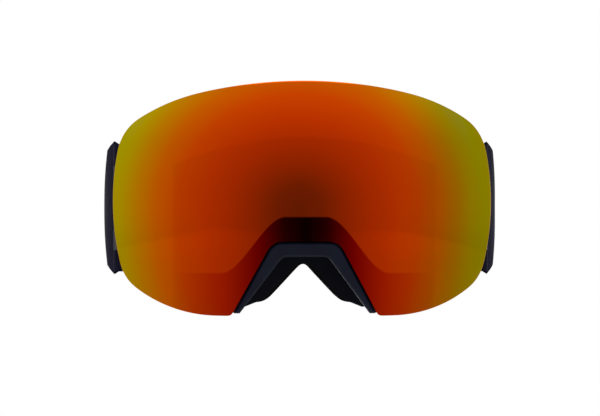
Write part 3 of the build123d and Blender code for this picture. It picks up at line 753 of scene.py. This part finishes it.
def lens_module():
    """Mirror lens, gasket, inner lens and carrier."""
    outline = cut_outline(0.0, 0.0, nose_arch(*NOSE_CUT), EDGE_SOFTNESS)
    lens = lens_piece("mirror_lens", outline, 0.0, LENS_THICKNESS, 0.5, MIRROR)
    lens.data.materials.append(LENS_BACK)
    centres = np.empty(len(lens.data.polygons) * 3)
    lens.data.polygons.foreach_get("center", centres)
    centres = centres.reshape(-1, 3) / MM
    skin = lens_y(centres[:, 0], centres[:, 2], LENS_THICKNESS * 0.8)
    lens.data.polygons.foreach_set("material_index", (centres[:, 1] > skin).astype(np.int32))
    placed(lens, "lens_module", "lens_mirror", "outer_lens")

    inner_outline = cut_outline(SPACER_INSET, 0.0, inner_nose(SPACER_INSET), EDGE_SOFTNESS)
    sheet = lens_piece("inner_lens_sheet", inner_outline, SPACER_REAR, INNER_LENS_REAR, 0.2, CLEAR)
    placed(sheet, "lens_module", "lens_clear", "inner_lens")

    hole = cut_outline(SPACER_INNER_INSET, 0.0, inner_nose(SPACER_INNER_INSET), EDGE_SOFTNESS)
    gasket = ring_piece(
        "lens_gasket",
        inner_outline,
        hole,
        lambda x, z: lens_y(x, z, LENS_THICKNESS),
        lambda x, z: lens_y(x, z, SPACER_REAR),
        ring_section(0.3, 5, 5, 4),
        SPACER,
    )
    placed(gasket, "lens_module", "spacer_foam", "lens_spacer")
    placed(softened("lens_carrier", CARRIER, 0.2), "lens_module", "carrier_plastic", "lens_carrier")


def inner_nose(grow):
    """The nose cut-out's arch, grown by grow."""
    top, half, angle, corner = NOSE_CUT
    lean = math.radians(angle)
    half += grow / math.cos(lean) - grow * math.tan(lean)
    return nose_arch(top + grow, half, angle, corner + grow / 2)


# ---- frame and foam ------------------------------------------------------------------------------


def frame_mouldings():
    """Front ring with its nose bridge, and the soft skirt."""
    placed(softened("front_frame", FRAME, 0.3), "frame", "frame_plastic", "front_frame")
    placed(softened("face_frame", SKIRT, 0.3), "frame", "skirt_rubber", "face_frame")


FOAM_AROUND = 260
FOAM_SLACK = 0.5
FOAM_CORNER = 0.7
BOND_DEPTH = 0.4
FOAM_MIDDLE = np.array([0.0, 12.0])


def face_foam():
    """Three foam layers, each a closed ring between its two cylinders, barely swollen where nothing holds it.

    The base and comfort layers are bonded front and rear; the fleece is bonded in front and free
    towards the face.
    """
    vee = np.asarray(NOSE_VEE)
    reach = np.linspace(0.0, vee[-1, 0], 400)
    depth = np.interp(reach, vee[:, 0], vee[:, 1])
    nose = np.stack([reach, depth - FOAM_SLACK / 2], axis=1)
    outer = cut_outline(FOAM_INSET + FOAM_SLACK, FACE_DROP, nose, FOAM_SOFTNESS, FOAM_AROUND)
    opening = nose_arch(*OPENING_NOSE)
    inner = cut_outline(OPENING_INSET - FOAM_SLACK, OPENING_DROP, opening, OPENING_SOFTNESS, FOAM_AROUND)
    inner = matched(outer, inner)
    for name, node, slot, finish, near, far, bonded_rear in (
        ("foam_base", "base_foam", "base_foam", BASE_FOAM, COMFORT, BASE, True),
        ("foam_comfort", "comfort_foam", "comfort_foam", COMFORT_FOAM, FLEECE, COMFORT, True),
        ("foam_fleece", "fleece_lining", "fleece", FLEECE_CLOTH, 0.0, FLEECE, False),
    ):
        back_gap = 0.0 if bonded_rear else FOAM_SLACK
        ring = ring_piece(
            name,
            outer,
            inner,
            lambda x, z, h=far: face_y(x, z, h),
            lambda x, z, h=near + back_gap: face_y(x, z, h),
            ring_section(FOAM_CORNER, 7, 4 if bonded_rear else 1, 3),
            finish,
        )
        points = mesh_points(ring.data) / MM
        above = FACE_RADIUS - points[:, 1]
        height = np.hypot(points[:, 0], above) - FACE_RADIUS
        held = height > far - BOND_DEPTH
        if bonded_rear:
            held |= height < near + BOND_DEPTH
        placed(swollen(ring, held, FOAM_SLACK), "frame", slot, node)


def matched(outer, inner):
    """The inner outline's points moved along it so that each is opposite its neighbour on the outer
    outline."""
    bearing = np.unwrap(np.arctan2(*(inner - FOAM_MIDDLE).T))
    wanted = np.unwrap(np.arctan2(*(outer - FOAM_MIDDLE).T))
    order = np.concatenate([bearing - 2 * math.pi, bearing, bearing + 2 * math.pi])
    return np.stack([np.interp(wanted, order, np.tile(inner[:, k], 3)) for k in (0, 1)], axis=1)


# A strip's section with its corners cut: shares of the way across and back.
STRIP_FRONT = [(0.0, 0.04), (0.12, 0.0), (0.88, 0.0), (1.0, 0.04)]
STRIP_SECTION = STRIP_FRONT + [(across, 1.0 - back) for across, back in reversed(STRIP_FRONT)]
NO_NOSE = (-60.0, 10.0, 10.0, 1.0)


def vent_foam():
    """Foam strips inside the skirt: stretches of a band that follows the skirt's wall, behind the vents."""
    outer = cut_outline(SKIRT_INSIDE, FACE_DROP, nose_arch(*NO_NOSE), EDGE_SOFTNESS)
    inner = cut_outline(SKIRT_INSIDE + VENT_FOAM_THICKNESS, FACE_DROP, nose_arch(*NO_NOSE), EDGE_SOFTNESS)
    for node in ("top_vent_foam", "bottom_vent_foam_left", "bottom_vent_foam_right"):
        near, far = low(node), high(node)
        centre = (near + far) / 2
        inside = (outer[:, 0] > near[0]) & (outer[:, 0] < far[0]) & ((outer[:, 1] > 0) == (centre[2] > 0))
        start = int(np.argmax(inside & ~np.roll(inside, 1)))
        order = (start + np.arange(int(inside.sum()))) % len(outer)
        a, b = outer[order], inner[order]
        rings = []
        for share, back in STRIP_SECTION:
            plan = a + share * (b - a)
            front = lens_y(plan[:, 0], plan[:, 1], FRAME_REAR + VENT_FOAM_END_GAP)
            rear = face_y(plan[:, 0], plan[:, 1], FLANGE + VENT_FOAM_END_GAP)
            rings.append(np.stack([plan[:, 0], front + back * (rear - front), plan[:, 1]], axis=1))
        strip = tube(node + "_strip", np.stack(rings, axis=1), VENT_FOAM)
        placed(strip, "frame", "vent_foam", node)


# ---- strap ---------------------------------------------------------------------------------------


def strap_point(along, out, side=1.0):
    """A point of the strap's straight side run: along from the outrigger's bar, out from its middle
    line."""
    along, out = np.broadcast_arrays(np.asarray(along, float), np.asarray(out, float))
    back = np.array([-math.sin(STRAP_CONVERGE), math.cos(STRAP_CONVERGE)])
    away = np.array([math.cos(STRAP_CONVERGE), math.sin(STRAP_CONVERGE)])
    point = STRAP_ORIGIN + along[..., None] * back + out[..., None] * away
    return point * [side, 1.0]


def rear_arc():
    """The Y of the centre of the strap's rear arc, and its radius: it carries on the straight run."""
    end = strap_point(STRAP_SIDE_LENGTH, STRAP_LAYER_OFFSET)
    radius = end[0] / math.cos(STRAP_CONVERGE)
    return end[1] - radius * math.sin(STRAP_CONVERGE), radius


def outer_run(side):
    """Middle line of the strap's outer layer, seen from above: half a circle round the bar, the
    straight run, then a quarter of the loop round the head to the middle of its back."""
    turn = np.linspace(-math.pi / 2, math.pi / 2, 25)
    bend = strap_point(-STRAP_LAYER_OFFSET * np.cos(turn), STRAP_LAYER_OFFSET * np.sin(turn))
    straight = strap_point(np.linspace(0.0, STRAP_SIDE_LENGTH, 60)[1:], STRAP_LAYER_OFFSET)
    centre, radius = rear_arc()
    angle = np.linspace(STRAP_CONVERGE, math.pi / 2, 120)[1:]
    rear = np.stack([radius * np.cos(angle), centre + radius * np.sin(angle)], axis=1)
    rear[-1, 0] = 0.0
    return np.concatenate([bend, straight, rear]) * [side, 1.0]


SELVAGE_DEPTH = 0.16
SELVAGE_IN = 4.0
SELVAGE_WIDTH = 0.9


def band(name, path, half_width, thickness, finish, start=0.0):
    """A flat strap along a path seen from above: its section is a thin rectangle with round edges and a
    shallow groove beside each edge. The weave attribute holds the distance along and the height, in
    millimetres."""
    tangent = np.gradient(path, axis=0)
    tangent /= np.linalg.norm(tangent, axis=1, keepdims=True)
    normal = np.stack([tangent[:, 1], -tangent[:, 0]], axis=1)
    if abs(path[-1, 0]) < 1e-6:
        normal[-1] = [0.0, 1.0 if normal[-1, 1] > 0 else -1.0]
    half = thickness / 2
    turn = np.linspace(-math.pi / 2, math.pi / 2, 9)
    flat = np.linspace(-1.0, 1.0, 24)[1:-1]
    top_z = half_width - half + half * np.cos(turn)
    top_n = half * np.sin(turn)
    up = (half_width - half) * flat
    groove = 1.0 - SELVAGE_DEPTH * np.exp(-(((half_width - SELVAGE_IN - np.abs(up)) / SELVAGE_WIDTH) ** 2))
    across = np.concatenate([up, top_z[::-1], -up, -top_z])
    out = np.concatenate([half * groove, top_n[::-1], -half * groove, top_n])
    step = np.linalg.norm(np.diff(path, axis=0), axis=1)
    run = start + np.concatenate([[0.0], np.cumsum(step)])
    x = path[:, None, 0] + out[None, :] * normal[:, None, 0]
    y = path[:, None, 1] + out[None, :] * normal[:, None, 1]
    z = np.broadcast_to(across, x.shape)
    weave = np.dstack([np.broadcast_to(run[:, None], x.shape), z, np.zeros_like(x)])
    return tube(name, np.dstack([x, y, z]), finish, attribute=weave)


# Where the weave's rows start on the inner layer and the tail, carried on from the layer before.
INNER_WEAVE_START = 7.2
TAIL_WEAVE_START = 60.0


def bend_with(piece, side):
    """Bakes a piece's placement into its mesh; the piece is not bent."""
    end = outer_run(side)[-1] * MM
    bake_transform(piece)


def strap():
    """Each half's outer layer is made in place and rides no body; the inner layer rides its outrigger, and
    the tail, its stitches and the slider ride the slider."""
    for side_name, side in SIDES.items():
        arm = "outrigger_" + side_name
        path = outer_run(side)
        outer = band("strap_webbing_" + side_name, path, STRAP_HALF_WIDTH, STRAP_THICKNESS, WEBBING)
        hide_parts("strap_side_" + side_name, "strap_rear")
        bend_with(outer, side)

        inner_path = strap_point(np.linspace(0.0, RETURN_LENGTH, 50), -STRAP_LAYER_OFFSET, side)
        name = "strap_inner_" + side_name
        inner = band(name, inner_path, STRAP_HALF_WIDTH, STRAP_THICKNESS, WEBBING, INNER_WEAVE_START)
        placed(inner, arm, "strap_webbing", "strap_return_" + side_name)
        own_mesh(inner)
        slider, name = "slider_" + side_name, "strap_tail_fold_" + side_name
        tail = band(name, tail_run(side), STRAP_HALF_WIDTH, TAIL_THICKNESS, WEBBING, TAIL_WEAVE_START)
        placed(tail, slider, "strap_webbing", "strap_tail_" + side_name)
        placed(stitches("tail_stitches_" + side_name, side), slider, "strap_webbing")
        placed(softened(slider, BUCKLE, 0.35), slider, "slider_plastic", slider)


STITCH_ROWS = (46.4, 50.2)
STITCH_PITCH = 2.6
STITCH_LENGTH = 1.7
STITCH_MARGIN = 3.0
STITCH_ARCH = 0.14
THREAD_RADIUS = 0.17
STITCH_RINGS = 5
STITCH_SIDES = 6


def stitches(name, side):
    """Two rows of stitches across the strap where its tail is sewn: each is a short round thread, half
    sunk in."""
    turn = np.linspace(0.0, 2 * math.pi, STITCH_SIDES + 1)[:-1]
    sink = np.linspace(-1.0, 1.0, STITCH_RINGS)
    surface = -STRAP_LAYER_OFFSET - STRAP_THICKNESS / 2
    out = surface - STITCH_ARCH * (1 - sink**2)
    girth = THREAD_RADIUS * np.sqrt(1.05 - sink**2)
    reach = STRAP_HALF_WIDTH - STITCH_MARGIN
    points, faces = [], []
    for row in STITCH_ROWS:
        for middle in np.arange(-reach, reach + 0.1, STITCH_PITCH):
            along = row + girth[:, None] * np.cos(turn)
            plan = strap_point(along, out[:, None] + girth[:, None] * np.sin(turn), side)
            z = np.broadcast_to((middle + STITCH_LENGTH / 2 * sink)[:, None], along.shape)
            first = STITCH_RINGS * STITCH_SIDES * len(points)
            last = first + (STITCH_RINGS - 1) * STITCH_SIDES
            points.append(np.dstack([plan, z]).reshape(-1, 3))
            faces += quads(STITCH_RINGS, STITCH_SIDES, wrap_columns=True, first=first)
            faces.append(list(range(first, first + STITCH_SIDES)))
            faces.append(list(range(last, last + STITCH_SIDES))[::-1])
    return made(name, np.concatenate(points), faces, THREAD)


# The tail: its distances out from the strap's middle line beside the inner layer, inside and outside the
# bar, and how far past the bar's middle it turns and how far back it ends.
TAIL_BESIDE = -1.0
TAIL_IN = -1.45
TAIL_OUT = 0.9
TAIL_ROUND = 1.2
TAIL_BACK = 2.1


def tail_run(side):
    """Middle line of the tail: back along the strap's middle, round the slider's middle bar and forward
    again."""
    centre, radius = (TAIL_IN + TAIL_OUT) / 2, (TAIL_OUT - TAIL_IN) / 2
    turn = np.linspace(-math.pi / 2, math.pi / 2, 20)
    bar = SLIDER_CENTRE + TAIL_ROUND
    along = np.linspace(TAIL_START, bar, 14)
    out_to = strap_point(along, np.interp(along, [RETURN_LENGTH + 1.0, bar], [TAIL_BESIDE, TAIL_IN]))
    round_bar = strap_point(bar + radius * np.cos(turn), centre + radius * np.sin(turn))
    back = strap_point(np.linspace(bar, SLIDER_CENTRE - TAIL_BACK, 8)[1:], TAIL_OUT)
    return np.concatenate([out_to, round_bar[1:], back]) * [side, 1.0]


GRIP_LINES = 3
GRIP_PITCH = 12.0
GRIP_HALF_ANGLE = math.radians(62.0)
GRIP_HALF_WIDTH = 1.5
GRIP_HEIGHT = 0.5
GRIP_WAVE = 1.2
GRIP_WAVES = 15
GRIP_SUNK = 0.02
GRIP_STEPS = 180


def grip_lines():
    """Silicone beads on the inside of the strap's back: half an ellipse carried along an arc that waves
    up and down."""
    centre, radius = rear_arc()
    inside = radius - STRAP_THICKNESS / 2 + GRIP_SUNK
    angle = np.linspace(math.pi / 2 - GRIP_HALF_ANGLE, math.pi / 2, GRIP_STEPS)
    turn = np.linspace(0.0, math.pi, 13)
    ends = np.sqrt(np.clip(1.0 - np.linspace(1.0, 0.0, GRIP_STEPS) ** 40, 0.02, 1.0))
    for line in range(GRIP_LINES):
        height = (line - (GRIP_LINES - 1) / 2) * GRIP_PITCH
        for side_name, side in SIDES.items():
            wave = height + side * GRIP_WAVE * np.sin(GRIP_WAVES * (angle - math.pi / 2))
            reach = inside - GRIP_HEIGHT * np.sin(turn)[None, :] * ends[:, None]
            z = wave[:, None] + GRIP_HALF_WIDTH * np.cos(turn)[None, :] * ends[:, None]
            x, y = side * reach * np.cos(angle)[:, None], centre + reach * np.sin(angle)[:, None]
            bead = tube(f"silicone_line_{line + 1}_{side_name}", np.dstack([x, y, z]), SILICONE)
            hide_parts("strap_grip")
            bend_with(bead, side)


def hinges():
    """Outriggers and their pins."""
    for side_name in SIDES:
        arm, pin = "outrigger_" + side_name, "outrigger_pin_" + side_name
        placed(softened(arm, ARM, 0.45), arm, "outrigger_plastic", arm)
        placed(softened(pin, PIN_STEEL, 0.2), "frame", "pin_steel", pin)


# ---- studio --------------------------------------------------------------------------------------

CAMERA_TARGET = (-0.00108, -0.008, -0.00016)
CAMERA_DISTANCE = 1.05
CAMERA_AZIMUTH = math.radians(-1.8)
FOCAL_LENGTH = 134.8
FLOOR_BELOW = 0.22
FLOOR_REACH = 1.2
LAMPS = [
    ("overhead", (0.0, 0.1, 1.4), 6.0, 1.0),
    ("key", (-1.0, -0.9, 0.9), 3.0, 0.8),
    ("fill", (1.1, -0.7, 0.5), 1.5, 0.8),
    ("rear", (0.3, 1.4, 0.7), 3.0, 1.0),
]
LAMPS_AIM = np.array([0.0, 0.02, 0.0])


def studio():
    """Camera, pale floor and soft light."""
    scene = bpy.context.scene
    camera = bpy.data.objects.new("camera", bpy.data.cameras.new("camera"))
    scene.collection.objects.link(camera)
    camera.data.lens = FOCAL_LENGTH
    camera.data.clip_start = 0.01
    away = (math.sin(CAMERA_AZIMUTH), -math.cos(CAMERA_AZIMUTH))
    camera.location = (
        CAMERA_TARGET[0] + CAMERA_DISTANCE * away[0],
        CAMERA_TARGET[1] + CAMERA_DISTANCE * away[1],
        CAMERA_TARGET[2],
    )
    camera.rotation_euler = (math.pi / 2, 0.0, CAMERA_AZIMUTH)
    scene.camera = camera

    floor_finish, shader, tree = finish_named("floor paper")
    haze = noise(tree, object_place(tree), 3.0)
    put(tree, shader.inputs["Base Color"], ramp(tree, haze, [(0.0, 0.90), (1.0, 0.93)]))
    shader.inputs["Roughness"].default_value = 0.9
    mesh = bpy.data.meshes.new("floor")
    edge, drop = FLOOR_REACH, -FLOOR_BELOW
    corners = [(-edge, -edge, drop), (edge, -edge, drop), (edge, edge, drop), (-edge, edge, drop)]
    mesh.from_pydata(corners, [], [(0, 1, 2, 3)])
    mesh.materials.append(floor_finish)
    floor = bpy.data.objects.new("floor", mesh)
    scene.collection.objects.link(floor)

    world = bpy.data.worlds.new("studio")
    world.use_nodes = True
    world.node_tree.nodes["Background"].inputs["Color"].default_value = (1.0, 1.0, 1.0, 1.0)
    world.node_tree.nodes["Background"].inputs["Strength"].default_value = 1.0
    scene.world = world
    for name, place, power, size in LAMPS:
        lamp = bpy.data.lights.new(name, "AREA")
        lamp.energy = power
        lamp.size = size
        holder = bpy.data.objects.new(name, lamp)
        scene.collection.objects.link(holder)
        holder.location = place
        holder.visible_glossy = name == "overhead"
        aim = LAMPS_AIM - np.array(place)
        holder.rotation_euler = (
            math.acos(-aim[2] / np.linalg.norm(aim)),
            0.0,
            math.atan2(aim[1], aim[0]) - math.pi / 2,
        )
    scene.view_settings.view_transform = "Standard"


studio()
lens_module()
frame_mouldings()
face_foam()
vent_foam()
hinges()
strap()
grip_lines()

for magnet_node in ("lens_magnets", "frame_magnets"):
    for material_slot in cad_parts[magnet_node].material_slots:
        material_slot.material = NICKEL
